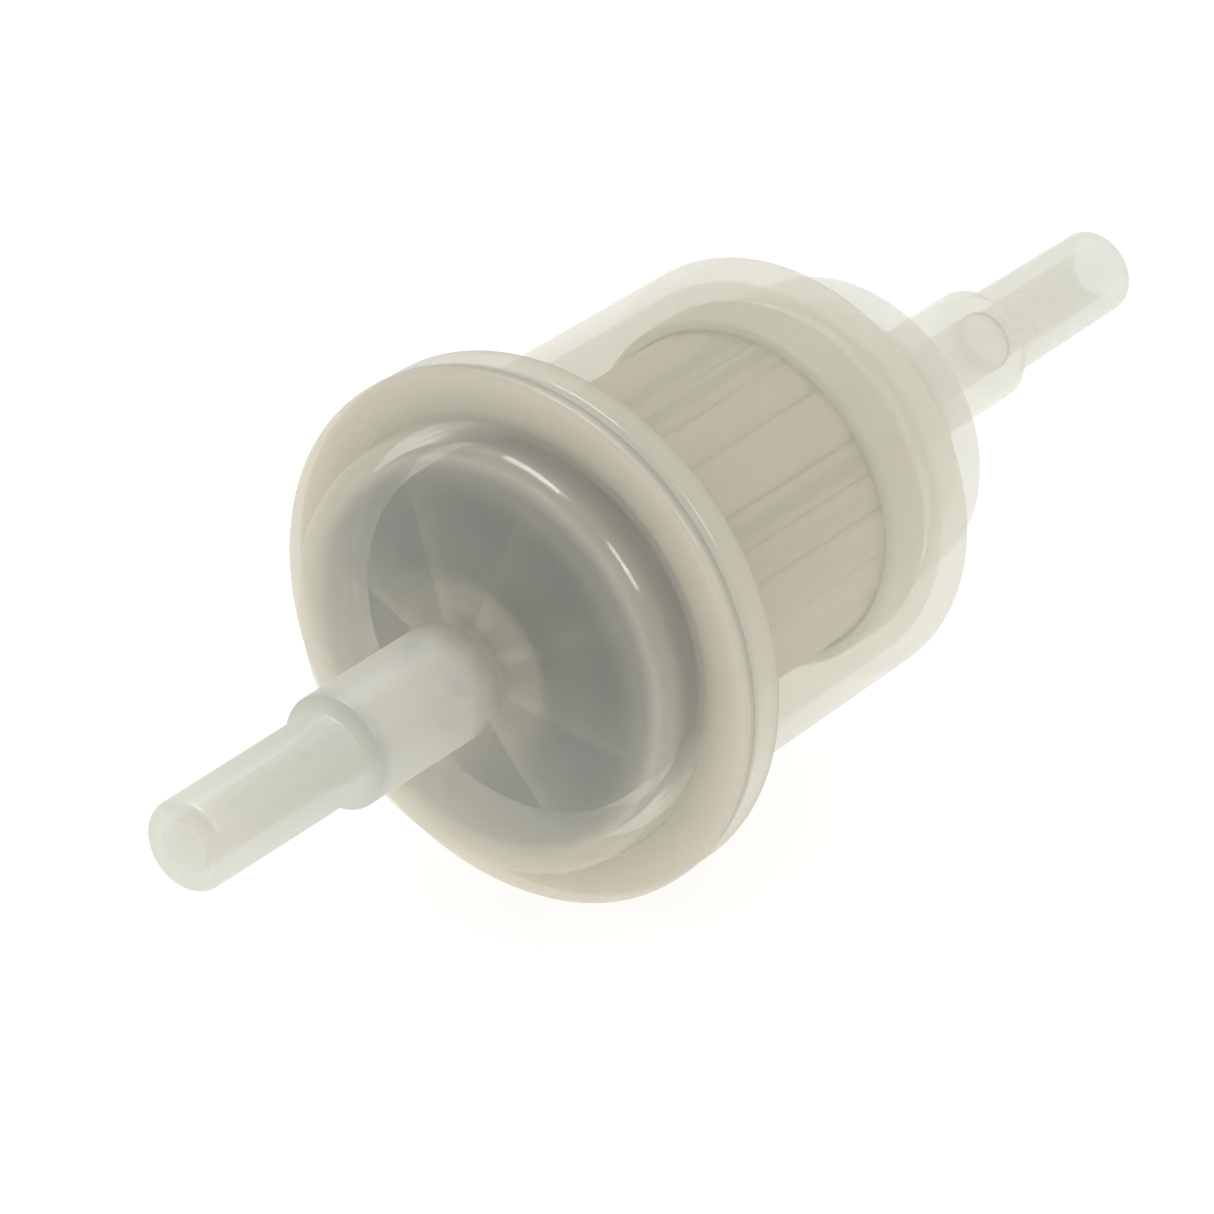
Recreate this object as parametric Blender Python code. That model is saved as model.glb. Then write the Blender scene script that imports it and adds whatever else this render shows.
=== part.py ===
"""In-line fuel filter for a small engine: a welded plastic shell around a pleated paper element.

Metres, +Z up. Fuel flows along +X, from the inlet nozzle at -X to the outlet nozzle at +X. The
origin is on the filter's axis, half way between the two nozzle tips. Every turned piece is an
outline of (x, radius, fillet) corners in the plane of the axis, spun once round X.
"""

import math

import bmesh
import bpy
from mathutils import Matrix, Vector

# Hose nozzles. Each end is stepped: a small hose fits the tip, a large hose fits behind the step.
LARGE_HOSE_DIAMETER = 0.0080
INLET_SMALL_HOSE_DIAMETER = 0.0063
OUTLET_SMALL_HOSE_DIAMETER = 0.0061
OUTLET_TIP_DIAMETER = 0.0058
INLET_SMALL_HOSE_LENGTH = 0.0144
INLET_LARGE_HOSE_LENGTH = 0.0122
OUTLET_SMALL_HOSE_LENGTH = 0.0131
OUTLET_LARGE_HOSE_LENGTH = 0.0138
HOSE_STEP_LENGTH = 0.0008
SMALL_BORE_DIAMETER = 0.0036
LARGE_BORE_DIAMETER = 0.0042

# Shell, from the inlet end to the outlet end
DOME_HEIGHT = 0.0063
DOME_FALL = 0.0022
DOME_BULGE = 0.0004
DOME_INSET = 0.00005
DOME_DRAFT = 0.0003
CAP_FLANGE_WIDTH = 0.0032
CAP_FLANGE_THICKNESS = 0.0012
HOUSING_FLANGE_WIDTH = 0.0031
HOUSING_FLANGE_THICKNESS = 0.0025
BODY_LENGTH = 0.0257
BODY_DIAMETER = 0.0310
BODY_DRAFT = 0.00045
DRUM_LENGTH = 0.0074
DRUM_DIAMETER = 0.0228
DRUM_DRAFT = 0.0007
WALL = 0.0013
LIP_WALL = 0.0007
LIP_LENGTH = 0.0022

# Ribs inside the cap, which press on the element's closed disc
RIB_COUNT = 8
RIB_THICKNESS = 0.0009
RIB_INNER_GAP = 0.0011
RIB_OUTER_GAP = 0.00205
RIB_TURN = math.radians(16)

# Filter element. The fuel passes through the ring-shaped gap between it and the body.
ELEMENT_GAP = 0.00135
PLEAT_COUNT = 24
PAPER_THICKNESS = 0.0004
PLEAT_OUTER_FOLD = 0.0006
PLEAT_INNER_FOLD = 0.0004
DISC_WALL = 0.0004
DISC_PLATE = 0.0008
DISC_RIM_LENGTH = 0.0036
INLET_CHAMBER = 0.0052
ADHESIVE_THICKNESS = 0.0012
CORE_GAP = 0.00115
CORE_WALL = 0.0008
CORE_ROWS = 4
CORE_WINDOWS = 8
CORE_WINDOW_WIDTH = 0.0022
CORE_BAR = 0.0014

# Outlet spigot, inside the drum, and the ring that seals the element on it
SPIGOT_DIAMETER = 0.0075
SPIGOT_REACH = 0.0028
SEAL_SECTION = 0.0010
COLLAR_WALL = 0.0008
STOP_RING_THICKNESS = 0.0008

# Fits and finishes
CLEARANCE = 0.0003
LIP_FILLET = 0.0005
EDGE_FILLET = 0.0003
FLANGE_FILLET = 0.0004
STEP_FILLET = 0.0005
ROOT_FILLET = 0.0006
DOME_FILLET = 0.0022
REAR_FILLET = 0.0010
WIDE_FILLET = 0.0004
MERGE = 0.000001
SEGMENTS = 44
INNER_SEGMENTS = 32

# Stations along X
INLET_NOZZLE_LENGTH = INLET_SMALL_HOSE_LENGTH + HOSE_STEP_LENGTH + INLET_LARGE_HOSE_LENGTH
OUTLET_NOZZLE_LENGTH = OUTLET_SMALL_HOSE_LENGTH + HOSE_STEP_LENGTH + OUTLET_LARGE_HOSE_LENGTH
FLANGE_PAIR = CAP_FLANGE_THICKNESS + CLEARANCE + HOUSING_FLANGE_THICKNESS
SHELL_LENGTH = DOME_HEIGHT + FLANGE_PAIR + BODY_LENGTH + DRUM_LENGTH
LENGTH = INLET_NOZZLE_LENGTH + SHELL_LENGTH + OUTLET_NOZZLE_LENGTH
INLET_TIP = -LENGTH / 2
OUTLET_TIP = LENGTH / 2
DOME_TOP = INLET_TIP + INLET_NOZZLE_LENGTH
FLANGE_FRONT = DOME_TOP + DOME_HEIGHT
CAP_REAR = FLANGE_FRONT + CAP_FLANGE_THICKNESS
HOUSING_FRONT = CAP_REAR + CLEARANCE
FLANGE_REAR = HOUSING_FRONT + HOUSING_FLANGE_THICKNESS
BODY_REAR = FLANGE_REAR + BODY_LENGTH
DRUM_END = BODY_REAR + DRUM_LENGTH

# Radii of the shell's outside
NOZZLE_RADIUS = LARGE_HOSE_DIAMETER / 2
BODY_FRONT_RADIUS = BODY_DIAMETER / 2
BODY_REAR_RADIUS = BODY_FRONT_RADIUS - BODY_DRAFT
DOME_BASE_RADIUS = BODY_FRONT_RADIUS - DOME_INSET
DOME_SHOULDER_RADIUS = DOME_BASE_RADIUS - DOME_DRAFT
CAP_FLANGE_RADIUS = BODY_FRONT_RADIUS + CAP_FLANGE_WIDTH
HOUSING_FLANGE_RADIUS = BODY_FRONT_RADIUS + HOUSING_FLANGE_WIDTH
DRUM_BASE_RADIUS = DRUM_DIAMETER / 2
DRUM_END_RADIUS = DRUM_BASE_RADIUS - DRUM_DRAFT

# The inside of the shell, worked out from its outside and its wall
CAP_FACE_INNER = DOME_TOP + WALL
REAR_WALL_INNER = BODY_REAR - WALL
DRUM_END_INNER = DRUM_END - WALL
SHOULDER_INNER_RADIUS = DOME_SHOULDER_RADIUS - WALL
MOUTH_RADIUS = BODY_FRONT_RADIUS - WALL
LIP_OUTER_RADIUS = MOUTH_RADIUS - CLEARANCE
LIP_INNER_RADIUS = LIP_OUTER_RADIUS - LIP_WALL
BORE_RADIUS = LARGE_BORE_DIAMETER / 2
RIB_INNER_RADIUS = BORE_RADIUS + RIB_INNER_GAP
RIB_OUTER_RADIUS = SHOULDER_INNER_RADIUS - RIB_OUTER_GAP
SPIGOT_RADIUS = SPIGOT_DIAMETER / 2

# The element between the cap's ribs and the housing's rear wall
INLET_DISC_FACE = DOME_TOP + WALL + INLET_CHAMBER
OUTLET_DISC_FACE = REAR_WALL_INNER - CLEARANCE
INLET_PLATE_INNER = INLET_DISC_FACE + DISC_PLATE
OUTLET_PLATE_INNER = OUTLET_DISC_FACE - DISC_PLATE
INLET_ADHESIVE = INLET_PLATE_INNER + CLEARANCE
OUTLET_ADHESIVE = OUTLET_PLATE_INNER - CLEARANCE
PAPER_START = INLET_ADHESIVE + ADHESIVE_THICKNESS + CLEARANCE
PAPER_END = OUTLET_ADHESIVE - ADHESIVE_THICKNESS - CLEARANCE
DISC_OUTER_RADIUS = BODY_REAR_RADIUS - WALL - ELEMENT_GAP
DISC_INNER_RADIUS = DISC_OUTER_RADIUS - DISC_WALL
CORE_INNER_RADIUS = SPIGOT_RADIUS + CORE_GAP
CORE_OUTER_RADIUS = CORE_INNER_RADIUS + CORE_WALL
PAPER_OUTER_RADIUS = DISC_INNER_RADIUS - CLEARANCE
PAPER_INNER_RADIUS = CORE_OUTER_RADIUS + CLEARANCE
DISC_HOLE_RADIUS = SPIGOT_RADIUS + CLEARANCE
SEAL_OUTER_RADIUS = DISC_HOLE_RADIUS + SEAL_SECTION
COLLAR_INNER_RADIUS = SEAL_OUTER_RADIUS + CLEARANCE
COLLAR_OUTER_RADIUS = COLLAR_INNER_RADIUS + COLLAR_WALL
SEAL_MIDDLE = OUTLET_DISC_FACE + CLEARANCE + SEAL_SECTION / 2
STOP_RING_FRONT = SEAL_MIDDLE + SEAL_SECTION / 2 + CLEARANCE
SPIGOT_END = OUTLET_DISC_FACE - SPIGOT_REACH


def clear_scene():
    for obj in list(bpy.data.objects):
        bpy.data.objects.remove(obj, do_unlink=True)


def plastic(name, color, roughness):
    material = bpy.data.materials.new(name)
    material.use_nodes = True
    shader = material.node_tree.nodes["Principled BSDF"]
    shader.inputs["Base Color"].default_value = (*color, 1.0)
    shader.inputs["Roughness"].default_value = roughness
    shader.inputs["Metallic"].default_value = 0.0
    material.diffuse_color = (*color, 1.0)
    return material


def rounded(corners):
    """The outline's points, with each corner's fillet drawn as an arc tangent to its two edges."""
    points = []
    for index, (x, radius, fillet) in enumerate(corners):
        corner = Vector((x, radius))
        back = Vector(corners[index - 1][:2]) - corner
        ahead = Vector(corners[(index + 1) % len(corners)][:2]) - corner
        half_angle = back.angle(ahead) / 2
        if fillet == 0 or half_angle > math.radians(89):
            points.append(corner)
            continue
        reach = min(fillet / math.tan(half_angle), back.length * 0.49, ahead.length * 0.49)
        start = corner + back.normalized() * reach
        end = corner + ahead.normalized() * reach
        centre = corner + (back.normalized() + ahead.normalized()).normalized() * reach / math.cos(half_angle)
        sweep = (start - centre).angle_signed(end - centre)
        steps = 2 if fillet >= WIDE_FILLET else 1
        for step in range(steps + 1):
            turn = Matrix.Rotation(-sweep * step / steps, 2)
            points.append(centre + turn @ (start - centre))
    return points


def add_mesh(name, bm, material):
    bmesh.ops.remove_doubles(bm, verts=bm.verts, dist=MERGE)
    bmesh.ops.recalc_face_normals(bm, faces=bm.faces)
    mesh = bpy.data.meshes.new(name)
    bm.to_mesh(mesh)
    bm.free()
    mesh.shade_smooth()
    mesh.set_sharp_from_angle(angle=math.radians(30))
    mesh.materials.append(material)
    obj = bpy.data.objects.new(name, mesh)
    bpy.context.scene.collection.objects.link(obj)
    return obj


def turned(name, corners, material, segments):
    """A piece turned round X. An outline that starts and ends on the axis closes there by itself."""
    bm = bmesh.new()
    points = rounded(corners)
    verts = [bm.verts.new((point.x, 0, point.y)) for point in points]
    edges = [bm.edges.new(pair) for pair in zip(verts, verts[1:])]
    if corners[0][1] > 0:
        edges.append(bm.edges.new((verts[-1], verts[0])))
    bmesh.ops.spin(
        bm, geom=verts + edges, cent=(0, 0, 0), axis=(1, 0, 0), angle=math.tau, steps=segments, use_merge=True
    )
    return add_mesh(name, bm, material)


def combine(obj, tool, operation):
    """A live exact Boolean, with its tool kept as a hidden wire object."""
    tool.hide_render = True
    tool.display_type = "WIRE"
    modifier = obj.modifiers.new(tool.name, "BOOLEAN")
    modifier.operation = operation
    modifier.solver = "EXACT"
    modifier.object = tool


def add_box(bm, low, high, turn):
    """A box from low to high, turned about the filter's axis."""
    middle = (Vector(low) + Vector(high)) / 2
    size = Vector(high) - Vector(low)
    place = Matrix.Rotation(turn, 4, "X") @ Matrix.Translation(middle) @ Matrix.Diagonal((*size, 1.0))
    bmesh.ops.create_cube(bm, size=1.0, matrix=place)


def nozzle_corners(tip, step_start, tip_diameter, small_diameter):
    """A stepped nozzle's outside, from its tip to its large step, seen from the tip inwards."""
    inward = math.copysign(1, step_start - tip)
    return [
        (tip, tip_diameter / 2, LIP_FILLET),
        (step_start, small_diameter / 2, STEP_FILLET),
        (step_start + inward * HOSE_STEP_LENGTH, NOZZLE_RADIUS, STEP_FILLET),
    ]


def bore_corners(tip, bore_step):
    """The nozzle's bore: narrow under the small hose, wider from the step inwards."""
    return [
        (tip, SMALL_BORE_DIAMETER / 2, EDGE_FILLET),
        (bore_step, SMALL_BORE_DIAMETER / 2, 0),
        (bore_step, BORE_RADIUS, 0),
    ]


def dome_corners(top, root_radius, shoulder_radius, base_radius, base, fillet):
    """A shallow convex face from the nozzle out to the shoulder, then the side down to its base."""
    middle_x = top + DOME_FALL / 2 - DOME_BULGE
    middle_radius = (root_radius + shoulder_radius) / 2
    return [
        (middle_x, middle_radius, DOME_SHOULDER_RADIUS),
        (top + DOME_FALL, shoulder_radius, fillet),
        (base, base_radius, EDGE_FILLET),
    ]


def add_rib(bm, turn):
    """One plate from the middle of the cap's sloping face to just short of the element's closed disc."""
    face_slope = DOME_FALL / (DOME_SHOULDER_RADIUS - NOZZLE_RADIUS)
    root = CAP_FACE_INNER - WALL / 2
    end = INLET_DISC_FACE - CLEARANCE
    corners = [
        (root, RIB_INNER_RADIUS),
        (root + face_slope * (RIB_OUTER_RADIUS - RIB_INNER_RADIUS), RIB_OUTER_RADIUS),
        (end, RIB_OUTER_RADIUS),
        (end, RIB_INNER_RADIUS),
    ]
    verts = [bm.verts.new((x, radius, -RIB_THICKNESS / 2)) for x, radius in corners]
    plate = bmesh.ops.extrude_face_region(bm, geom=[bm.faces.new(verts)])
    raised = [item for item in plate["geom"] if isinstance(item, bmesh.types.BMVert)]
    bmesh.ops.translate(bm, verts=raised, vec=(0, 0, RIB_THICKNESS))
    bmesh.ops.rotate(bm, verts=verts + raised, cent=(0, 0, 0), matrix=Matrix.Rotation(turn, 3, "X"))


def make_inlet_cap(material):
    step = INLET_TIP + INLET_SMALL_HOSE_LENGTH
    outer = nozzle_corners(INLET_TIP, step, INLET_SMALL_HOSE_DIAMETER, INLET_SMALL_HOSE_DIAMETER)
    outer.append((DOME_TOP, NOZZLE_RADIUS, ROOT_FILLET))
    outer += dome_corners(
        DOME_TOP, NOZZLE_RADIUS, DOME_SHOULDER_RADIUS, DOME_BASE_RADIUS, FLANGE_FRONT, DOME_FILLET
    )
    flange = [
        (FLANGE_FRONT, CAP_FLANGE_RADIUS, EDGE_FILLET),
        (CAP_REAR, CAP_FLANGE_RADIUS, EDGE_FILLET),
        (CAP_REAR, LIP_OUTER_RADIUS, 0),
        (CAP_REAR + LIP_LENGTH, LIP_OUTER_RADIUS, EDGE_FILLET),
        (CAP_REAR + LIP_LENGTH, LIP_INNER_RADIUS, 0),
    ]
    inner = dome_corners(
        CAP_FACE_INNER, BORE_RADIUS, SHOULDER_INNER_RADIUS, LIP_INNER_RADIUS, CAP_REAR, DOME_FILLET - WALL
    )
    inner = [inner[1], inner[0], (CAP_FACE_INNER, BORE_RADIUS, 0)]
    bore = bore_corners(INLET_TIP, step)[::-1]
    cap = turned("inlet_cap", outer + flange + inner + bore, material, SEGMENTS)

    bm = bmesh.new()
    for index in range(RIB_COUNT):
        add_rib(bm, RIB_TURN + index * math.tau / RIB_COUNT)
    combine(cap, add_mesh("cap_ribs", bm, material), "UNION")


def make_housing(material):
    step = OUTLET_TIP - OUTLET_SMALL_HOSE_LENGTH
    nozzle = nozzle_corners(OUTLET_TIP, step, OUTLET_TIP_DIAMETER, OUTLET_SMALL_HOSE_DIAMETER)[::-1]
    outer = [
        (HOUSING_FRONT, HOUSING_FLANGE_RADIUS, FLANGE_FILLET),
        (FLANGE_REAR, HOUSING_FLANGE_RADIUS, FLANGE_FILLET),
        (FLANGE_REAR, BODY_FRONT_RADIUS, EDGE_FILLET),
        (BODY_REAR, BODY_REAR_RADIUS, REAR_FILLET),
        (BODY_REAR, DRUM_BASE_RADIUS, EDGE_FILLET),
        (DRUM_END, DRUM_END_RADIUS, REAR_FILLET),
        (DRUM_END, NOZZLE_RADIUS, ROOT_FILLET),
    ]
    spigot = [
        (SPIGOT_END, BORE_RADIUS, 0),
        (SPIGOT_END, SPIGOT_RADIUS, EDGE_FILLET),
        (STOP_RING_FRONT, SPIGOT_RADIUS, 0),
        (STOP_RING_FRONT, SEAL_OUTER_RADIUS, 0),
        (STOP_RING_FRONT + STOP_RING_THICKNESS, SEAL_OUTER_RADIUS, 0),
        (STOP_RING_FRONT + STOP_RING_THICKNESS, SPIGOT_RADIUS, 0),
    ]
    inner = [
        (DRUM_END_INNER, SPIGOT_RADIUS, EDGE_FILLET),
        (DRUM_END_INNER, DRUM_END_RADIUS - WALL, EDGE_FILLET),
        (REAR_WALL_INNER, DRUM_BASE_RADIUS - WALL, 0),
        (REAR_WALL_INNER, BODY_REAR_RADIUS - WALL, EDGE_FILLET),
        (FLANGE_REAR, MOUTH_RADIUS, 0),
        (HOUSING_FRONT, MOUTH_RADIUS, 0),
    ]
    bore = bore_corners(OUTLET_TIP, step)
    turned("housing", outer + nozzle + bore + spigot + inner, material, SEGMENTS)


def make_inlet_disc(material):
    """The closed end disc: a plate with a rim round the paper's inlet end."""
    rim_end = INLET_DISC_FACE + DISC_RIM_LENGTH
    corners = [
        (INLET_DISC_FACE, 0, 0),
        (INLET_DISC_FACE, DISC_OUTER_RADIUS, EDGE_FILLET),
        (rim_end, DISC_OUTER_RADIUS, 0),
        (rim_end, DISC_INNER_RADIUS, 0),
        (INLET_PLATE_INNER, DISC_INNER_RADIUS, 0),
        (INLET_PLATE_INNER, 0, 0),
    ]
    turned("inlet_end_disc", corners, material, INNER_SEGMENTS)


def make_outlet_disc(material):
    """The open end disc: its hole passes over the spigot, and its collar holds the seal."""
    rim_end = OUTLET_DISC_FACE - DISC_RIM_LENGTH
    collar_end = STOP_RING_FRONT + CLEARANCE
    corners = [
        (OUTLET_PLATE_INNER, DISC_HOLE_RADIUS, 0),
        (OUTLET_PLATE_INNER, DISC_INNER_RADIUS, 0),
        (rim_end, DISC_INNER_RADIUS, 0),
        (rim_end, DISC_OUTER_RADIUS, 0),
        (OUTLET_DISC_FACE, DISC_OUTER_RADIUS, EDGE_FILLET),
        (OUTLET_DISC_FACE, COLLAR_OUTER_RADIUS, 0),
        (collar_end, COLLAR_OUTER_RADIUS, 0),
        (collar_end, COLLAR_INNER_RADIUS, 0),
        (OUTLET_DISC_FACE, COLLAR_INNER_RADIUS, 0),
        (OUTLET_DISC_FACE, DISC_HOLE_RADIUS, 0),
    ]
    turned("outlet_end_disc", corners, material, INNER_SEGMENTS)


def make_adhesive(name, start, end, material):
    """A ring of cured adhesive that holds the paper's end in its disc."""
    corners = [
        (start, CORE_OUTER_RADIUS + CLEARANCE, 0),
        (start, DISC_INNER_RADIUS - CLEARANCE, 0),
        (end, DISC_INNER_RADIUS - CLEARANCE, 0),
        (end, CORE_OUTER_RADIUS + CLEARANCE, 0),
    ]
    turned(name, corners, material, INNER_SEGMENTS)


def make_outlet_seal(material):
    """A round-section ring between the spigot and the disc's collar."""
    inner = DISC_HOLE_RADIUS
    front = SEAL_MIDDLE - SEAL_SECTION / 2
    rear = SEAL_MIDDLE + SEAL_SECTION / 2
    fillet = SEAL_SECTION * 0.45
    corners = [
        (front, inner, fillet),
        (front, SEAL_OUTER_RADIUS, fillet),
        (rear, SEAL_OUTER_RADIUS, fillet),
        (rear, inner, fillet),
    ]
    turned("outlet_seal", corners, material, INNER_SEGMENTS)


def make_core_tube(material):
    """The tube inside the pleats, with rows of windows for the fuel."""
    start = INLET_ADHESIVE
    end = OUTLET_ADHESIVE
    corners = [
        (start, CORE_INNER_RADIUS, 0),
        (start, CORE_OUTER_RADIUS, 0),
        (end, CORE_OUTER_RADIUS, 0),
        (end, CORE_INNER_RADIUS, 0),
    ]
    core = turned("core_tube", corners, material, INNER_SEGMENTS)

    bm = bmesh.new()
    pitch = (PAPER_END - PAPER_START + CORE_BAR) / CORE_ROWS
    for row in range(CORE_ROWS):
        window_start = PAPER_START + row * pitch
        for index in range(CORE_WINDOWS):
            low = (window_start, CORE_INNER_RADIUS - WALL, -CORE_WINDOW_WIDTH / 2)
            high = (window_start + pitch - CORE_BAR, CORE_OUTER_RADIUS + WALL, CORE_WINDOW_WIDTH / 2)
            add_box(bm, low, high, (index + row % 2 / 2) * math.tau / CORE_WINDOWS)
    combine(core, add_mesh("core_windows", bm, material), "DIFFERENCE")


def pleat_middle_line():
    """One closed zigzag round the axis: an arc at each outer fold and one at each inner fold."""
    outer = PAPER_OUTER_RADIUS - PAPER_THICKNESS / 2
    inner = PAPER_INNER_RADIUS + PAPER_THICKNESS / 2
    points = []
    for pleat in range(PLEAT_COUNT):
        for side, radius, fold in ((0.0, outer, PLEAT_OUTER_FOLD), (0.5, inner, -PLEAT_INNER_FOLD)):
            turn = (pleat + side) * math.tau / PLEAT_COUNT
            for angle in (-75, -25, 25, 75):
                along = radius - fold + fold * math.cos(math.radians(angle))
                across = abs(fold) * math.sin(math.radians(angle))
                middle = Vector((along, across))
                middle.rotate(Matrix.Rotation(turn, 2))
                points.append(middle)
    return points


def make_pleated_paper(material):
    """The folded paper: the zigzag's middle line thickened to both sides and drawn out along X."""
    line = pleat_middle_line()
    bm = bmesh.new()
    rings = []
    for index, point in enumerate(line):
        along = (line[(index + 1) % len(line)] - line[index - 1]).normalized()
        offset = Vector((along.y, -along.x)) * PAPER_THICKNESS / 2
        ring = []
        for x, side in ((PAPER_START, 1), (PAPER_END, 1), (PAPER_END, -1), (PAPER_START, -1)):
            place = point + offset * side
            ring.append(bm.verts.new((x, place.x, place.y)))
        rings.append(ring)
    for ring, following in zip(rings, rings[1:] + rings[:1]):
        for corner in range(4):
            after = (corner + 1) % 4
            bm.faces.new((ring[corner], ring[after], following[after], following[corner]))
    add_mesh("pleated_paper", bm, material)


def build():
    clear_scene()
    shell = plastic("milky_plastic", (0.86, 0.85, 0.79), 0.35)
    disc = plastic("disc_plastic", (0.74, 0.74, 0.69), 0.5)
    paper = plastic("filter_paper", (0.80, 0.74, 0.58), 0.9)
    adhesive = plastic("cured_adhesive", (0.78, 0.70, 0.50), 0.4)
    rubber = plastic("seal_rubber", (0.05, 0.05, 0.05), 0.6)
    make_inlet_cap(shell)
    make_housing(shell)
    make_inlet_disc(disc)
    make_outlet_disc(disc)
    make_adhesive("inlet_end_adhesive", INLET_ADHESIVE, INLET_ADHESIVE + ADHESIVE_THICKNESS, adhesive)
    make_adhesive("outlet_end_adhesive", OUTLET_ADHESIVE - ADHESIVE_THICKNESS, OUTLET_ADHESIVE, adhesive)
    make_core_tube(disc)
    make_pleated_paper(paper)
    make_outlet_seal(rubber)


build()
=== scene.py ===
"""In-line fuel filter: a milky moulded shell with a pleated paper element inside.

Every piece is turned about X or repeats around it, so most shapes here are an outline of
(x, radius) points spun round the axis on a regular grid of angles. Each outline corner also
carries the plastic's haze and warmth there, which become vertex attributes that the materials read.
"""
import math

import bpy
import numpy as np
from mathutils import Matrix, Vector


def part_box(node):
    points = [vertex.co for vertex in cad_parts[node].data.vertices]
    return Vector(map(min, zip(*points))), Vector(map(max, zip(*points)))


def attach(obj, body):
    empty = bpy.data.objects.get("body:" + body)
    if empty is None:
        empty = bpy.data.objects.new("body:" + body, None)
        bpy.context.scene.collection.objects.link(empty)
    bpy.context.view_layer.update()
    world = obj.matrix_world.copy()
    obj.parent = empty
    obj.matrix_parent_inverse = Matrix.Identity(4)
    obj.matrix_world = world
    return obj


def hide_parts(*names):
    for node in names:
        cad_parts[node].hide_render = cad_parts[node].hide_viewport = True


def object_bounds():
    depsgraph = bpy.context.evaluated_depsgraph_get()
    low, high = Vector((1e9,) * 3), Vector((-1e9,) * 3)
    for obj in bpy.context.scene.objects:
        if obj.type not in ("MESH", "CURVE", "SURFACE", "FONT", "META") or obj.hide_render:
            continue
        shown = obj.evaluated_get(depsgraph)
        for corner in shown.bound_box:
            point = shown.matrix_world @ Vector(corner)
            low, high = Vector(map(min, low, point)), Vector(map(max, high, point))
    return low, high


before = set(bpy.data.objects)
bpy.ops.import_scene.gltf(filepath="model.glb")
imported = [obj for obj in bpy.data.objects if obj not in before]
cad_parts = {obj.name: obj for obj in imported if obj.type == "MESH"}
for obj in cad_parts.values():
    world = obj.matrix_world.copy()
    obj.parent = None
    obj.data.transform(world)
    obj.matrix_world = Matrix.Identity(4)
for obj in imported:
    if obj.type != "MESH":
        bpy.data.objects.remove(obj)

cad_low, cad_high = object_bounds()

# Shell stations along X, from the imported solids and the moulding's own sizes (metres)
INLET_SMALL_HOSE_LENGTH = 0.0144
OUTLET_SMALL_HOSE_LENGTH = 0.0131
OUTLET_NOZZLE_LENGTH = 0.0277
HOSE_STEP_LENGTH = 0.0008
DOME_HEIGHT = 0.0063
DOME_FALL = 0.0022
DOME_BULGE = 0.0004
CAP_FLANGE_THICKNESS = 0.0012
HOUSING_FLANGE_THICKNESS = 0.0025
DRUM_LENGTH = 0.0074
WALL = 0.0013
LIP_LENGTH = 0.0022
LIP_WALL = 0.0007
CLEARANCE = 0.0003

# Radii
LARGE_HOSE_RADIUS = 0.0040
INLET_SMALL_RADIUS = 0.00315
OUTLET_SMALL_RADIUS = 0.00305
OUTLET_TIP_RADIUS = 0.0029
SMALL_BORE_RADIUS = 0.0018
LARGE_BORE_RADIUS = 0.0021
DOME_SHOULDER_RADIUS = 0.01515
DOME_BASE_RADIUS = 0.01545
BODY_FRONT_RADIUS = 0.0155
BODY_REAR_RADIUS = 0.01505
DRUM_BASE_RADIUS = 0.0114
DRUM_END_RADIUS = 0.0107
SPIGOT_RADIUS = 0.00375
SEAL_OUTER_RADIUS = 0.00505

# Cap ribs
RIB_COUNT = 8
RIB_THICKNESS = 0.0009
RIB_INNER_RADIUS = 0.0032
RIB_OUTER_RADIUS = 0.0118
RIB_TURN = math.radians(16)

# Element
PLEAT_COUNT = 24
PLEAT_GAP = 0.00021
PLEAT_FOLD = 0.0007
PLEAT_ROOT_FOLD = 0.00025
PLEAT_TURN = math.radians(4)
PLEAT_UNEVENNESS = 0.2
PLEAT_SINKS, PLEAT_SINK_ODDS = (0.0, 0.0001, 0.0002, 0.0003), (0.35, 0.25, 0.25, 0.15)
PLEAT_TONES, PLEAT_TONE_ODDS = (0.0, 0.3, 0.8), (0.4, 0.3, 0.3)
# Painted shade on a pleat for each metre that it is sunk, added to its tone
PLEAT_SHADE_PER_METRE_SUNK = 400
PLEAT_LEAN = 0.0002
PAPER_THICKNESS = 0.0004
PAPER_INNER_RADIUS = 0.0062
PAPER_THROUGH_SHARE = 0.55
DISC_WALL = 0.0004
DISC_PLATE = 0.0008
COLLAR_WALL = 0.0008
COLLAR_LENGTH = 0.0019
SPIGOT_BEFORE_COLLAR_END = 0.0056

# Meshing
SEGMENTS = 192
ARC_STEPS = 7
OUTLINE_STEP = 0.0009
SHARP_ANGLE = math.radians(32)

# The side of the dome where its painted shade is strongest, and how much stronger it is there
PAINTED_SHADE_TURN = math.radians(135)
PAINTED_SHADE_LEAN = 0.85

# Milky plastic: its colours where cold and warm, its dark colour for painted shade and specks, and the share
# of its light that comes through
COLD_MILK = (0.72, 0.73, 0.68, 1)
WARM_MILK_SHELL = (0.91, 0.86, 0.74, 1)
WARM_MILK_RIBS = (0.83, 0.77, 0.63, 1)
SHADE_AND_SPECK_MILK = (0.22, 0.23, 0.21, 1)
THROUGH_SHARE = 0.45
SHADE_HAZE = 0.3

# Dark specks in the plastic: cells per metre, reach within a cell, the cells without one, darkness
SPECK_CELLS = 170.0
SPECK_REACH = 0.035
SPECKLESS_SHARE = 0.93
SPECK_DEPTH = 0.6

# Camera
CAMERA_TURN = math.radians(-52.52)
CAMERA_LIFT = math.radians(29.21)
CAMERA_DISTANCE = 0.7856
CAMERA_SIDE = -0.00346
CAMERA_RISE = -0.003959
SENSOR = 36.0
FOCAL_LENGTH = 356.6817

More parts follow.
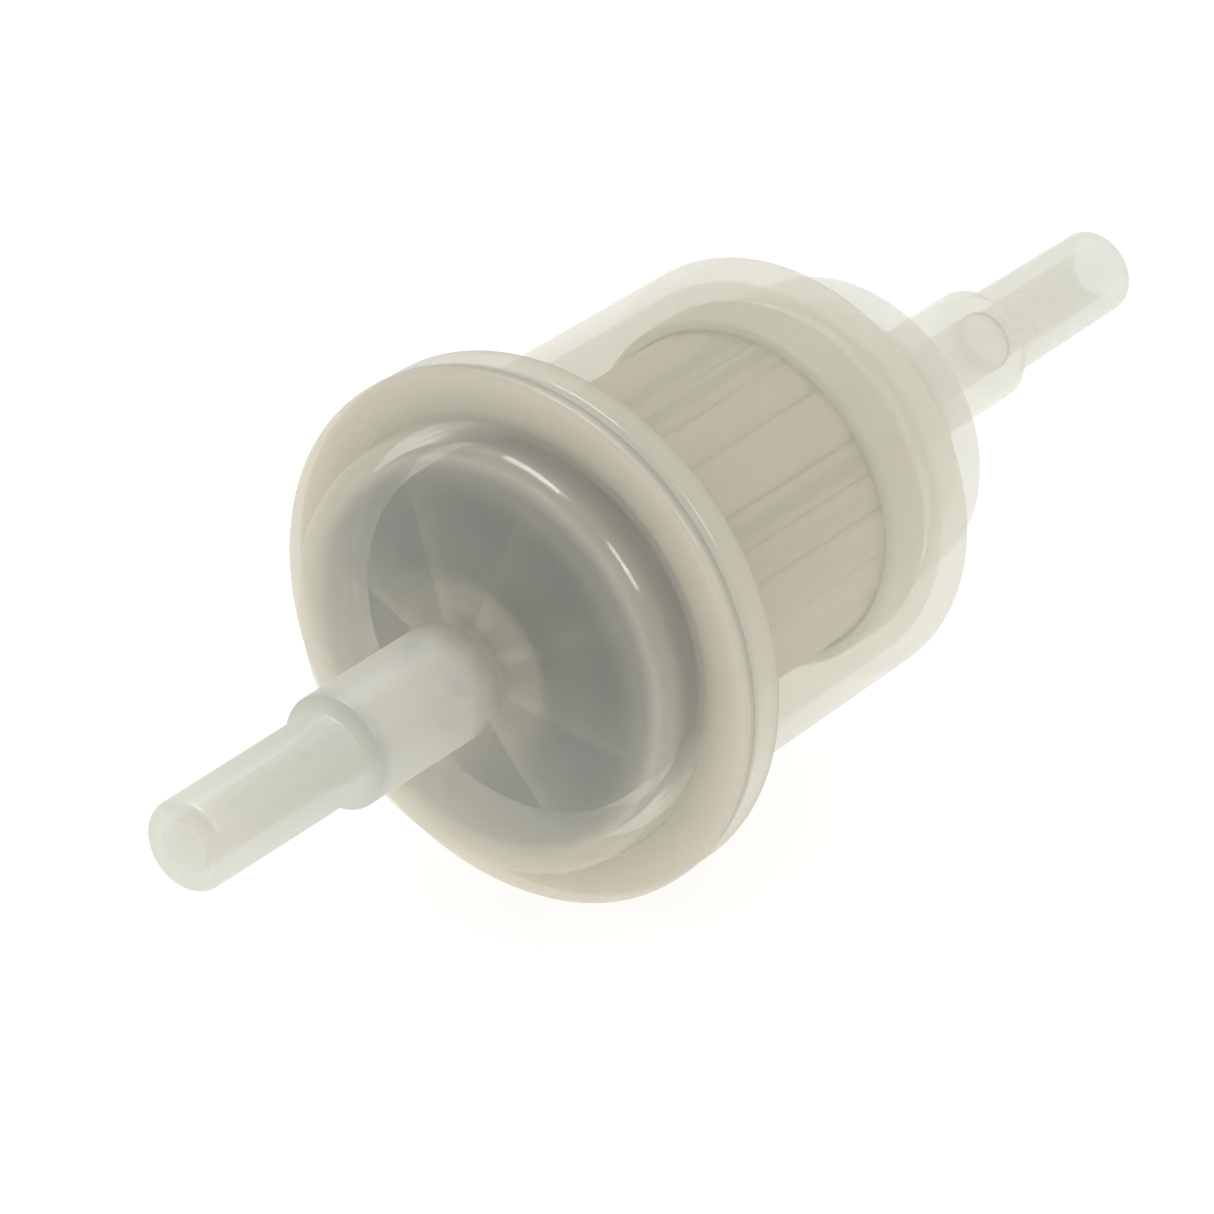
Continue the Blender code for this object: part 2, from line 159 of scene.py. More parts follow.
# Light: glows are given as they light the object and as the camera sees them
STRIP_DISTANCE = 0.9
FLOOR_REACH = 3.0
FLOOR_GAP = 0.0002
FLOOR_GREY = (0.40, 0.40, 0.40, 1)
FLOOR_GLOW, FLOOR_GLOW_SEEN = 0.84, 0.74
WORLD_GLOW, WORLD_GLOW_SEEN = 0.82, 1.0
WHITE = (1, 1, 1, 1)

cap_low, cap_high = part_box("inlet_cap")
housing_low, housing_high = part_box("housing")
inlet_disc_low, inlet_disc_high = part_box("inlet_end_disc")
outlet_disc_low, outlet_disc_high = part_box("outlet_end_disc")
paper_low, paper_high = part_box("pleated_paper")

INLET_TIP = cap_low.x
CAP_FLANGE_RADIUS = cap_high.z
LIP_END = cap_high.x
CAP_REAR = LIP_END - LIP_LENGTH
FLANGE_FRONT = CAP_REAR - CAP_FLANGE_THICKNESS
DOME_TOP = FLANGE_FRONT - DOME_HEIGHT
HOUSING_FRONT = housing_low.x
HOUSING_FLANGE_RADIUS = housing_high.z
FLANGE_REAR = HOUSING_FRONT + HOUSING_FLANGE_THICKNESS
OUTLET_TIP = housing_high.x
DRUM_END = OUTLET_TIP - OUTLET_NOZZLE_LENGTH
BODY_REAR = DRUM_END - DRUM_LENGTH
CAP_FACE_INNER = DOME_TOP + WALL
REAR_WALL_INNER = BODY_REAR - WALL
DRUM_END_INNER = DRUM_END - WALL
MOUTH_RADIUS = BODY_FRONT_RADIUS - WALL
LIP_OUTER_RADIUS = MOUTH_RADIUS - CLEARANCE
LIP_INNER_RADIUS = LIP_OUTER_RADIUS - LIP_WALL
SHOULDER_INNER_RADIUS = DOME_SHOULDER_RADIUS - WALL


# ---------------------------------------------------------------- surfaces

def rounded(corners, steps=ARC_STEPS):
    """Outline points with their surface values. Each corner (x, radius, fillet, haze, warmth) becomes
    an arc of its fillet radius, tangent to the two edges that meet there."""
    points = []
    for index, (x, radius, fillet, haze, warmth) in enumerate(corners):
        corner = np.array((x, radius))
        back = np.array(corners[index - 1][:2]) - corner
        ahead = np.array(corners[(index + 1) % len(corners)][:2]) - corner
        back_length, ahead_length = np.linalg.norm(back), np.linalg.norm(ahead)
        back, ahead = back / back_length, ahead / ahead_length
        half_angle = math.acos(np.clip(back @ ahead, -1, 1)) / 2
        if fillet == 0 or half_angle > math.radians(89.5):
            points.append((x, radius, haze, warmth))
            continue
        reach = min(fillet / math.tan(half_angle), back_length * 0.49, ahead_length * 0.49)
        arc_radius = reach * math.tan(half_angle)
        middle = (back + ahead) / np.linalg.norm(back + ahead)
        centre = corner + middle * reach / math.cos(half_angle)
        start = corner + back * reach - centre
        end = corner + ahead * reach - centre
        share = np.linspace(0, 1, steps + 1)[:, None]
        sweep = math.acos(np.clip(start @ end / arc_radius ** 2, -1, 1))
        arc = (np.sin((1 - share) * sweep) * start + np.sin(share * sweep) * end) / math.sin(sweep)
        points += [(*(centre + p), haze, warmth) for p in arc]
    return np.array(points)


def grid_faces(rows, columns, ends_meet):
    """Four-sided faces between neighbouring points of a grid. The last column always joins the
    first, and the last row joins the first where ends_meet."""
    index = np.arange(rows * columns).reshape(rows, columns)
    index = np.concatenate([index, index[:, :1]], axis=1)
    if ends_meet:
        index = np.concatenate([index, index[:1]], axis=0)
    return np.stack([index[:-1, :-1], index[1:, :-1], index[1:, 1:], index[:-1, 1:]], -1).reshape(-1, 4)


def mesh_from_grid(name, grid, values, material):
    """A mesh from a grid of points that closes on itself both ways, with values at its vertices."""
    faces = grid_faces(*grid.shape[:2], ends_meet=True)
    return mesh_from_faces(name, grid.reshape(-1, 3), faces, values, material)


def mesh_from_faces(name, points, faces, values, material):
    """A closed mesh whose faces point outwards, which is where its signed volume is positive. Each
    of the values becomes a vertex attribute under its own name."""
    fan = points[faces]
    volume = sum(np.einsum("ij,ij->i", fan[:, 0], np.cross(fan[:, k], fan[:, k + 1])).sum()
                 for k in range(1, faces.shape[1] - 1))
    if volume < 0:
        faces = faces[:, ::-1]
    mesh = bpy.data.meshes.new(name)
    mesh.from_pydata(points.tolist(), [], faces.tolist())
    mesh.shade_smooth()
    mesh.set_sharp_from_angle(angle=SHARP_ANGLE)
    for key, column in values.items():
        mesh.attributes.new(key, "FLOAT", "POINT").data.foreach_set("value", column.astype(np.float32))
    mesh.materials.append(material)
    piece = bpy.data.objects.new(name, mesh)
    bpy.context.scene.collection.objects.link(piece)
    return piece


def stepped(outline):
    """The closed outline with points added along its long edges, evenly spaced on each."""
    following = np.roll(outline, -1, 0)
    lengths = np.linalg.norm(following[:, :2] - outline[:, :2], axis=1)
    pieces = [a + (b - a) * np.arange(n)[:, None] / n
              for a, b, n in zip(outline, following, (lengths / OUTLINE_STEP).astype(int) + 1)]
    return np.concatenate(pieces)


def turned(name, corners, material, segments=SEGMENTS, steps=ARC_STEPS, painted_shade_lines=(), lean=0.0):
    """The outline spun round X: each outline point (x, r) becomes the ring (x, r cos t, r sin t).
    Each line (start, end, width, depth) paints shade onto the outline near that stretch as a Gaussian of the
    distance, and lean makes the painted shade stronger on one side: times 1 + lean cos(t -
    PAINTED_SHADE_TURN)."""
    outline = stepped(rounded(corners, steps))
    shade = np.zeros(len(outline))
    for start, end, width, depth in painted_shade_lines:
        start, run = np.array(start), np.array(end) - start
        share = np.clip((outline[:, :2] - start) @ run / (run @ run + 1e-12), 0, 1)
        distance = np.linalg.norm(outline[:, :2] - start - share[:, None] * run, axis=1)
        shade = np.maximum(shade, depth * np.exp(-(distance / width) ** 2))
    turn = np.arange(segments) * math.tau / segments
    x = np.repeat(outline[:, :1], segments, axis=1)
    y = outline[:, 1:2] * np.cos(turn)
    z = outline[:, 1:2] * np.sin(turn)
    values = {"haze": np.repeat(outline[:, 2], segments), "warmth": np.repeat(outline[:, 3], segments),
              "shade": np.outer(shade, 1 + lean * np.cos(turn - PAINTED_SHADE_TURN)).ravel()}
    return mesh_from_grid(name, np.stack([x, y, z], -1), values, material)


# ---------------------------------------------------------------- materials

class Nodes:
    """A small helper that adds nodes to one material and joins them."""

    def __init__(self, name):
        self.material = bpy.data.materials.new(name)
        self.material.use_nodes = True
        self.tree = self.material.node_tree
        self.tree.nodes.clear()
        self.output = self.add("ShaderNodeOutputMaterial")
        self.place = self.add("ShaderNodeTexCoord").outputs["Object"]

    def add(self, kind, inputs=None, **settings):
        node = self.tree.nodes.new(kind)
        for key, value in settings.items():
            setattr(node, key, value)
        for key, value in (inputs or {}).items():
            if isinstance(value, bpy.types.NodeSocket):
                self.tree.links.new(value, node.inputs[key])
            else:
                node.inputs[key].default_value = value
        return node

    def noise(self, scale, detail=3.0, roughness=0.5, place=None):
        inputs = {"Vector": place or self.place, "Scale": scale, "Detail": detail, "Roughness": roughness}
        return self.add("ShaderNodeTexNoise", inputs).outputs["Fac"]

    def stretched(self, scale):
        return self.add("ShaderNodeMapping", {"Vector": self.place, "Scale": scale}).outputs[0]

    def spread(self, value, low, high, from_low=0.0, from_high=1.0):
        inputs = {"Value": value, "From Min": from_low, "From Max": from_high, "To Min": low, "To Max": high}
        return self.add("ShaderNodeMapRange", inputs).outputs[0]

    def mix_color(self, factor, first, second):
        node = self.add("ShaderNodeMix", data_type="RGBA")
        for slot, value in ((0, factor), (6, first), (7, second)):
            if isinstance(value, bpy.types.NodeSocket):
                self.tree.links.new(value, node.inputs[slot])
            else:
                node.inputs[slot].default_value = value
        return node.outputs[2]

    def math(self, operation, first, second):
        return self.add("ShaderNodeMath", {0: first, 1: second}, operation=operation).outputs[0]

    def value(self, name):
        return self.add("ShaderNodeAttribute", attribute_name=name).outputs["Fac"]

    def bump(self, height, strength, distance):
        inputs = {"Height": height, "Strength": strength, "Distance": distance}
        return self.add("ShaderNodeBump", inputs).outputs[0]

    def finish(self, shader):
        self.tree.links.new(shader, self.output.inputs["Surface"])
        return self.material


def milky_material(name, warm, roughness, grain_depth):
    """See-through moulded plastic. Haze sets how much of what lies behind is hidden, warmth goes from
    the cold colour to the warm one, and shade, which is painted shade, goes on to the dark one and adds
    haze. Dark specks go to the dark one too. Hazier plastic is rougher."""
    n = Nodes(name)
    clouds = n.noise(45.0, 2.0)
    flow = n.noise(1.0, 3.0, place=n.stretched((40.0, 160.0, 160.0)))
    grain = n.noise(2600.0, 2.0)
    tint = n.math("ADD", n.value("warmth"), n.spread(clouds, -0.1, 0.1, 0.3, 0.7))
    color = n.mix_color(n.spread(tint, 0.0, 1.0), COLD_MILK, warm)
    cells = n.add("ShaderNodeTexVoronoi", {"Vector": n.place, "Scale": SPECK_CELLS})
    draw = n.add("ShaderNodeSeparateColor", {0: cells.outputs["Color"]}).outputs[0]
    speck = n.math("MULTIPLY", n.math("LESS_THAN", cells.outputs["Distance"], SPECK_REACH),
                   n.math("GREATER_THAN", draw, SPECKLESS_SHARE))
    # Painted shade from the shade attribute, and dark specks, both taken towards the dark colour
    dark = n.math("MAXIMUM", n.value("shade"), n.math("MULTIPLY", speck, SPECK_DEPTH))
    color = n.mix_color(dark, color, SHADE_AND_SPECK_MILK)
    haze = n.math("MULTIPLY", n.value("haze"), n.spread(flow, 0.97, 1.03, 0.3, 0.7))
    haze = n.math("ADD", haze, n.math("MULTIPLY", n.value("shade"), SHADE_HAZE))
    shine = n.spread(n.value("haze"), roughness, roughness * 3, 0.45, 0.7)
    shine = n.math("MULTIPLY", shine, n.spread(n.noise(700.0, 3.0), 0.85, 1.2, 0.3, 0.7))
    height = n.math("ADD", n.math("MULTIPLY", flow, 0.5), n.math("MULTIPLY", grain, 0.04))
    normal = n.bump(height, grain_depth, 0.0004)
    body = n.add("ShaderNodeBsdfPrincipled", {"Base Color": color, "Roughness": shine, "IOR": 1.49,
                                              "Specular IOR Level": 0.5, "Normal": normal})
    glow = n.add("ShaderNodeBsdfTranslucent", {"Color": color, "Normal": normal})
    inside = n.add("ShaderNodeMixShader", {0: THROUGH_SHARE, 1: body.outputs[0], 2: glow.outputs[0]})
    clear = n.add("ShaderNodeBsdfTransparent", {"Color": (1, 0.995, 0.975, 1)})
    milky = n.add("ShaderNodeMixShader", {0: haze, 1: clear.outputs[0], 2: inside.outputs[0]})
    return n.finish(milky.outputs[0])


def satin_material(name, first, second, roughness, scale):
    """Opaque satin plastic or resin with soft mottling and a fine moulded grain."""
    n = Nodes(name)
    color = n.mix_color(n.spread(n.noise(scale, 4.0), 0.0, 1.0, 0.3, 0.7), (*first, 1), (*second, 1))
    shine = n.spread(n.noise(scale * 4), roughness * 0.85, roughness * 1.15, 0.3, 0.7)
    normal = n.bump(n.noise(3000.0, 3.0), 0.15, 0.0002)
    return n.finish(n.add("ShaderNodeBsdfPrincipled", {"Base Color": color, "Roughness": shine,
                                                       "Normal": normal}).outputs[0])


def disc_material():
    """Satin end disc, near black: partly its own grey, partly painted shade of the closed cavity in front of
    it, with the tan of cured adhesive showing through towards its middle.
    """
    n = Nodes("closed_disc_plastic")
    mottle = n.noise(220.0, 4.0)
    # Near-black greys: the disc's own grey with painted shade of the closed cavity
    light, dark, tan = (0.080, 0.095, 0.105, 1), (0.062, 0.075, 0.083, 1), (0.34, 0.27, 0.17, 1)
    color = n.mix_color(n.spread(mottle, 0.0, 1.0, 0.3, 0.7), light, dark)
    color = n.mix_color(n.value("warmth"), color, tan)
    shine = n.spread(n.noise(900.0), 0.38, 0.5, 0.3, 0.7)
    normal = n.bump(n.noise(3000.0, 3.0), 0.15, 0.0002)
    return n.finish(n.add("ShaderNodeBsdfPrincipled", {"Base Color": color, "Roughness": shine,
                                                       "Normal": normal}).outputs[0])


def paper_material():
    """Resin-treated filter paper: a felt of short fibres, darker by each pleat's tone, which is partly
    random from pleat to pleat and partly painted shade.
    """
    n = Nodes("filter_paper")
    fibres = n.noise(1.0, 5.0, 0.65, n.stretched((900.0, 2600.0, 2600.0)))
    blotches = n.noise(260.0, 4.0, 0.6)
    pale, cream = (0.95, 0.93, 0.79, 1), (0.91, 0.88, 0.74, 1)
    fibre, pleat_tone_and_shade = (0.82, 0.78, 0.64, 1), (0.66, 0.63, 0.50, 1)
    color = n.mix_color(n.spread(blotches, 0.0, 1.0, 0.3, 0.7), pale, cream)
    color = n.mix_color(n.spread(fibres, 0.0, 0.3, 0.45, 0.7), color, fibre)
    # Darker by the pleat's tone: partly random, partly painted shade on sunk pleats, with painted light in
    # the folds
    color = n.mix_color(n.value("warmth"), color, pleat_tone_and_shade)
    normal = n.bump(fibres, 0.4, 0.0002)
    body = n.add("ShaderNodeBsdfPrincipled", {"Base Color": color, "Roughness": 0.9, "Normal": normal,
                                              "Specular IOR Level": 0.2})
    glow = n.add("ShaderNodeBsdfTranslucent", {"Color": color})
    lit = n.add("ShaderNodeMixShader", {0: PAPER_THROUGH_SHARE, 1: body.outputs[0], 2: glow.outputs[0]})
    return n.finish(lit.outputs[0])


# ---------------------------------------------------------------- shell

def make_cap(material):
    """The inlet cap: its outline spun round X. The corners are (x, radius, fillet, haze, warmth) and
    go along the nozzle, face, shoulder, foot, flange and locating lip, then back through the cavity
    and the bore. The face bulges, because its middle corner stands off the slope under a wide fillet.
    The lines paint shade onto the face, the cavity's inside, wall and lip, the foot, the flange edge
    and the creases, and the painted shade is stronger on one side."""
    step = INLET_TIP + INLET_SMALL_HOSE_LENGTH
    dome_middle = (LARGE_HOSE_RADIUS + DOME_SHOULDER_RADIUS) / 2
    shoulder_x = DOME_TOP + DOME_FALL
    cavity_x = CAP_FACE_INNER + DOME_FALL
    corners = [
        (INLET_TIP, INLET_SMALL_RADIUS, 0.0007, 0.66, 0.2),
        (step, INLET_SMALL_RADIUS, 0.0005, 0.8, 0.2),
        (step + HOSE_STEP_LENGTH, LARGE_HOSE_RADIUS, 0.0005, 0.8, 0.2),
        (DOME_TOP - 0.003, LARGE_HOSE_RADIUS, 0.0, 0.86, 0.2),
        (DOME_TOP, LARGE_HOSE_RADIUS, 0.0004, 0.40, 0.4),
        (DOME_TOP + DOME_FALL / 2 - DOME_BULGE, dome_middle, 0.016, 0.38, 0.0),
        (shoulder_x, DOME_SHOULDER_RADIUS, 0.0022, 0.40, 0.6),
        (FLANGE_FRONT, DOME_BASE_RADIUS, 0.0004, 0.5, 0.4),
        (FLANGE_FRONT, CAP_FLANGE_RADIUS, 0.0003, 0.7, 0.9),
        (CAP_REAR, CAP_FLANGE_RADIUS, 0.0003, 0.6, 0.3),
        (CAP_REAR, LIP_OUTER_RADIUS, 0.0002, 0.3, 0.4),
        (LIP_END, LIP_OUTER_RADIUS, 0.0002, 0.3, 0.4),
        (LIP_END, LIP_INNER_RADIUS, 0.0002, 0.5, 0.4),
        (CAP_REAR, LIP_INNER_RADIUS, 0.0003, 0.62, 0.3),
        (cavity_x + 0.0024, SHOULDER_INNER_RADIUS + 0.00005, 0.0, 0.6, 0.3),
        (cavity_x + 0.0014, SHOULDER_INNER_RADIUS + 0.00003, 0.0, 0.72, 0.9),
        (cavity_x, SHOULDER_INNER_RADIUS, 0.0004, 0.72, 0.9),
        (CAP_FACE_INNER + DOME_FALL * 0.86, SHOULDER_INNER_RADIUS - 0.0009, 0.0, 0.5, 0.0),
        (CAP_FACE_INNER + DOME_FALL / 2 - DOME_BULGE, dome_middle, 0.014, 0.36, 0.0),
        (CAP_FACE_INNER, LARGE_BORE_RADIUS, 0.0003, 0.35, 1.0),
        (step, LARGE_BORE_RADIUS, 0.0001, 0.6, 0.1),
        (step, SMALL_BORE_RADIUS, 0.0001, 0.6, 0.1),
        (INLET_TIP, SMALL_BORE_RADIUS, 0.0003, 0.45, 0.1),
    ]
    hose_shoulder = (step + HOSE_STEP_LENGTH, LARGE_HOSE_RADIUS)
    root = (DOME_TOP, LARGE_HOSE_RADIUS)
    face_start, face_end = (DOME_TOP + 0.0007, 0.0078), (shoulder_x - 0.0007, 0.0126)
    below_shoulder = (shoulder_x + 0.0018, DOME_SHOULDER_RADIUS + 0.0001)
    foot = (FLANGE_FRONT, DOME_BASE_RADIUS)
    flange_edge = (CAP_REAR, CAP_FLANGE_RADIUS)
    lip_root, lip_tip = (CAP_REAR, LIP_INNER_RADIUS), (LIP_END, LIP_INNER_RADIUS)
    wall_start = (cavity_x + 0.0007, SHOULDER_INNER_RADIUS)
    wall_middle = (cavity_x + 0.0028, SHOULDER_INNER_RADIUS)
    inside_start = (CAP_FACE_INNER + 0.0005, 0.0062)
    inside_end = (cavity_x - 0.0003, SHOULDER_INNER_RADIUS - 0.0008)
    # Painted shade: dark inside the closed cavity, on its wall and lip, on the face and the dome's side, at
    # the foot and flange edge, and in the creases at the nozzle root and step
    painted_shade_lines = [
        (inside_start, inside_end, 0.0006, 0.55),
        (wall_start, lip_root, 0.0005, 0.25),
        (wall_middle, lip_root, 0.0006, 0.66),
        (lip_root, lip_tip, 0.0004, 0.8),
        (face_start, face_end, 0.0006, 0.3),
        (below_shoulder, foot, 0.0006, 0.1),
        (foot, foot, 0.0005, 0.2),
        (flange_edge, flange_edge, 0.0006, 0.3),
        (root, root, 0.0012, 0.15),
        (hose_shoulder, hose_shoulder, 0.0005, 0.15),
    ]
    return turned("cap_shell", corners, material, painted_shade_lines=painted_shade_lines, lean=PAINTED_SHADE_LEAN)


def make_housing(material):
    """The housing: its outline spun round X, with the same five values at each corner as the cap. It
    goes along the flange, body, drum and nozzle, then back through the bore, spigot and cavity. The
    lines paint shade along the flange's rear edge, at the body's rear corner and into the creases."""
    step = OUTLET_TIP - OUTLET_SMALL_HOSE_LENGTH
    spigot_end = outlet_disc_high.x - SPIGOT_BEFORE_COLLAR_END
    corners = [
        (HOUSING_FRONT, HOUSING_FLANGE_RADIUS, 0.0004, 0.5, 0.6),
        (FLANGE_REAR, HOUSING_FLANGE_RADIUS, 0.0005, 0.5, 0.8),
        (FLANGE_REAR, BODY_FRONT_RADIUS, 0.0006, 0.50, 0.5),
        (BODY_REAR, BODY_REAR_RADIUS, 0.0011, 0.48, 0.5),
        (BODY_REAR, DRUM_BASE_RADIUS, 0.0004, 0.4, 0.4),
        (DRUM_END, DRUM_END_RADIUS, 0.0012, 0.4, 0.2),
        (DRUM_END, LARGE_HOSE_RADIUS, 0.0008, 0.5, 0.3),
        (step - HOSE_STEP_LENGTH, LARGE_HOSE_RADIUS, 0.0005, 0.5, 0.2),
        (step, OUTLET_SMALL_RADIUS, 0.0005, 0.6, 0.2),
        (OUTLET_TIP, OUTLET_TIP_RADIUS, 0.0007, 0.6, 0.1),
        (OUTLET_TIP, SMALL_BORE_RADIUS, 0.0003, 0.4, 0.1),
        (step, SMALL_BORE_RADIUS, 0.0001, 0.35, 0.1),
        (step, LARGE_BORE_RADIUS, 0.0001, 0.35, 0.1),
        (spigot_end, LARGE_BORE_RADIUS, 0.0002, 0.3, 0.1),
        (spigot_end, SPIGOT_RADIUS, 0.0003, 0.4, 0.3),
        (DRUM_END_INNER, SPIGOT_RADIUS, 0.0003, 0.4, 0.5),
        (DRUM_END_INNER, DRUM_END_RADIUS - WALL, 0.0006, 0.3, 0.2),
        (REAR_WALL_INNER, DRUM_BASE_RADIUS - WALL, 0.0003, 0.3, 0.3),
        (REAR_WALL_INNER, BODY_REAR_RADIUS - WALL, 0.0008, 0.3, 0.5),
        (FLANGE_REAR, MOUTH_RADIUS, 0.0, 0.25, 0.5),
        (HOUSING_FRONT, MOUTH_RADIUS, 0.0003, 0.3, 0.5),
    ]
    # Painted shade along the flange's rear edge, at the body's rear corner and in the creases of drum, bore
    # and nozzle root
    painted_shade_lines = [(place, place, width, depth) for place, width, depth in (
        ((FLANGE_REAR, HOUSING_FLANGE_RADIUS), 0.0005, 0.5),
        ((BODY_REAR, BODY_REAR_RADIUS), 0.0005, 0.25),
        ((BODY_REAR, DRUM_BASE_RADIUS), 0.0006, 0.35),
        ((step, LARGE_BORE_RADIUS), 0.0006, 0.5),
        ((DRUM_END, LARGE_HOSE_RADIUS), 0.0008, 0.3))]
    return turned("housing_shell", corners, material, painted_shade_lines=painted_shade_lines)


def make_weld(material):
    """The bead of melted plastic that closes the joint between the two flanges: a flat ring, its
    four-cornered outline spun round X."""
    outer = CAP_FLANGE_RADIUS - 0.00015
    corners = [
        (CAP_REAR - 0.0001, outer, 0.0001, 0.6, 0.5),
        (HOUSING_FRONT + 0.0001, outer, 0.0001, 0.6, 0.5),
        (HOUSING_FRONT + 0.0001, MOUTH_RADIUS + 0.0005, 0.0001, 0.5, 0.5),
        (CAP_REAR - 0.0001, MOUTH_RADIUS + 0.0005, 0.0001, 0.5, 0.5),
    ]
    return turned("flange_weld", corners, material)


def make_ribs(material):
    """Eight plates from the inside of the sloping face to the closed disc. Each is a rounded slab: a
    grid of radius against a closed loop of (x, across), whose front follows the face's slope."""
    radii = np.linspace(RIB_INNER_RADIUS, RIB_OUTER_RADIUS, 24)
    slope = DOME_FALL / (DOME_SHOULDER_RADIUS - LARGE_HOSE_RADIUS)
    front = CAP_FACE_INNER + 0.0001 + slope * (radii - LARGE_BORE_RADIUS)
    back = np.full_like(radii, inlet_disc_low.x - CLEARANCE)
    depths = np.array((0, 0.12, 0.3, 0.6, 1))
    loop = np.array([(d, -1 + d / 5) for d in depths] + [(d, 1 - d / 5) for d in depths[::-1]])
    grid = np.zeros((len(radii) + 2, len(loop), 3))
    grid[1:-1, :, 0] = front[:, None] + (back - front)[:, None] * loop[:, 0]
    grid[1:-1, :, 1] = radii[:, None]
    grid[1:-1, :, 2] = loop[:, 1] * RIB_THICKNESS / 2
    grid[0], grid[-1] = grid[1].mean(0), grid[-2].mean(0)
    haze = np.tile(0.4 * (1 - loop[:, 0]) ** 3 + 0.15, RIB_COUNT * len(grid))
    quads = grid_faces(*grid.shape[:2], ends_meet=False)
    flat = grid.reshape(-1, 3)
    points, faces = [], []
    for rib in range(RIB_COUNT):
        turn = RIB_TURN + rib * math.tau / RIB_COUNT
        y = flat[:, 1] * math.cos(turn) - flat[:, 2] * math.sin(turn)
        z = flat[:, 1] * math.sin(turn) + flat[:, 2] * math.cos(turn)
        points.append(np.stack([flat[:, 0], y, z], -1))
        faces.append(quads + rib * len(flat))
    points, faces = np.concatenate(points), np.concatenate(faces)
    values = {"haze": haze, "warmth": np.full(len(points), 0.8), "shade": np.zeros(len(points))}
    return mesh_from_faces("cap_ribs", points, faces, values, material)


# ---------------------------------------------------------------- element

def make_inlet_disc(material):
    """The closed end disc: a plate and a rim, their outline spun round X. Warmth is the tan of the
    adhesive at its middle."""
    radius = inlet_disc_high.z
    corners = [
        (inlet_disc_low.x, 0.00001, 0, 1, 1.0),
        (inlet_disc_low.x, 0.0052, 0, 1, 0.5),
        (inlet_disc_low.x, 0.0075, 0, 1, 0.0),
        (inlet_disc_low.x, radius, 0.0004, 1, 0.0),
        (inlet_disc_high.x, radius, 0.0001, 1, 0.3),
        (inlet_disc_high.x, radius - DISC_WALL, 0.0001, 1, 0.3),
        (inlet_disc_low.x + DISC_PLATE, radius - DISC_WALL, 0.0001, 1, 0.0),
        (inlet_disc_low.x + DISC_PLATE, 0.00001, 0, 1, 0.0),
    ]
    return turned("closed_end_disc", corners, material)


def make_outlet_disc(material):
    """The open end disc: a plate with a rim, a hole over the spigot and a collar round the seal, their
    outline spun round X. The rim's inside clears the paper."""
    face, radius = outlet_disc_high.x - COLLAR_LENGTH, outlet_disc_high.z
    rim_end = outlet_disc_low.x
    hole, collar = SPIGOT_RADIUS + CLEARANCE, SEAL_OUTER_RADIUS + CLEARANCE
    inner = min(radius - DISC_WALL, paper_high.z + 0.00003)
    corners = [
        (face - DISC_PLATE, hole, 0.0001, 1, 0.3),
        (face - DISC_PLATE, inner, 0.0001, 1, 0.3),
        (rim_end, inner, 0.0001, 1, 0.3),
        (rim_end, radius, 0.0003, 1, 0.3),
        (face, radius, 0.0004, 1, 0.3),
        (face, collar + COLLAR_WALL, 0.0002, 1, 0.3),
        (outlet_disc_high.x, collar + COLLAR_WALL, 0.0002, 1, 0.3),
        (outlet_disc_high.x, collar, 0.0002, 1, 0.3),
        (face, collar, 0.0001, 1, 0.3),
        (face, hole, 0.0002, 1, 0.3),
    ]
    return turned("open_end_disc", corners, material, segments=160, steps=4)


def make_pleats(material):
    """The paper: one closed sheet that goes in to a narrow fold between pleats and out round each
    pleat's broad top, thickened to both sides and drawn out along X. The tops differ in width, and
    each leans a little, so that it sits higher on one side than on the other."""
    rng = np.random.default_rng(5)
    pitch = math.tau / PLEAT_COUNT
    shift = rng.uniform(-PLEAT_UNEVENNESS, PLEAT_UNEVENNESS, PLEAT_COUNT) * pitch
    edges = np.arange(PLEAT_COUNT) * pitch + shift + PLEAT_TURN
    edges = np.append(edges, edges[0] + math.tau)
    top = paper_high.z - PAPER_THICKNESS / 2
    corners = []
    for pleat in range(PLEAT_COUNT):
        start, end = edges[pleat], edges[pleat + 1]
        sink = rng.choice(PLEAT_SINKS, p=PLEAT_SINK_ODDS)
        lean = rng.uniform(0.0, PLEAT_LEAN)
        # A pleat's tone is partly a random one and partly painted shade as deep as it is sunk; the folds get
        # none, which paints light into them
        tone_and_shade = rng.choice(PLEAT_TONES, p=PLEAT_TONE_ODDS) + sink * PLEAT_SHADE_PER_METRE_SUNK
        inner_gap = PLEAT_GAP / PAPER_INNER_RADIUS
        outer_gap = PLEAT_GAP / top
        places = [(start - inner_gap, PAPER_INNER_RADIUS, PLEAT_ROOT_FOLD, 0),
                  (start + inner_gap, PAPER_INNER_RADIUS, PLEAT_ROOT_FOLD, 0)]
        for share in np.linspace(0, 1, 4):
            angle = start + outer_gap + share * (end - start - 2 * outer_gap)
            fold = PLEAT_FOLD if share in (0, 1) else 0
            places.append((angle, top - sink - lean * share, fold, 0 if fold else tone_and_shade))
        corners += [(r * math.cos(a), r * math.sin(a), fold, 1, tint) for a, r, fold, tint in places]
    line = rounded(corners, 5)
    tones_and_shade = line[:, 3]
    line = line[:, :2]
    ahead = np.roll(line, -1, 0) - np.roll(line, 1, 0)
    ahead /= np.linalg.norm(ahead, axis=1)[:, None]
    side = np.stack([ahead[:, 1], -ahead[:, 0]], -1) * PAPER_THICKNESS / 2
    stations = np.linspace(paper_low.x, paper_high.x, 25)
    grid = [np.column_stack([np.full(len(line), x), line + side]) for x in stations]
    grid += [np.column_stack([np.full(len(line), x), line - side]) for x in stations[::-1]]
    # Warmth here is each pleat's tone and painted shade
    values = {"warmth": np.tile(tones_and_shade, len(grid))}
    return mesh_from_grid("paper_pleats", np.array(grid), values, material)


# ---------------------------------------------------------------- camera, floor and light

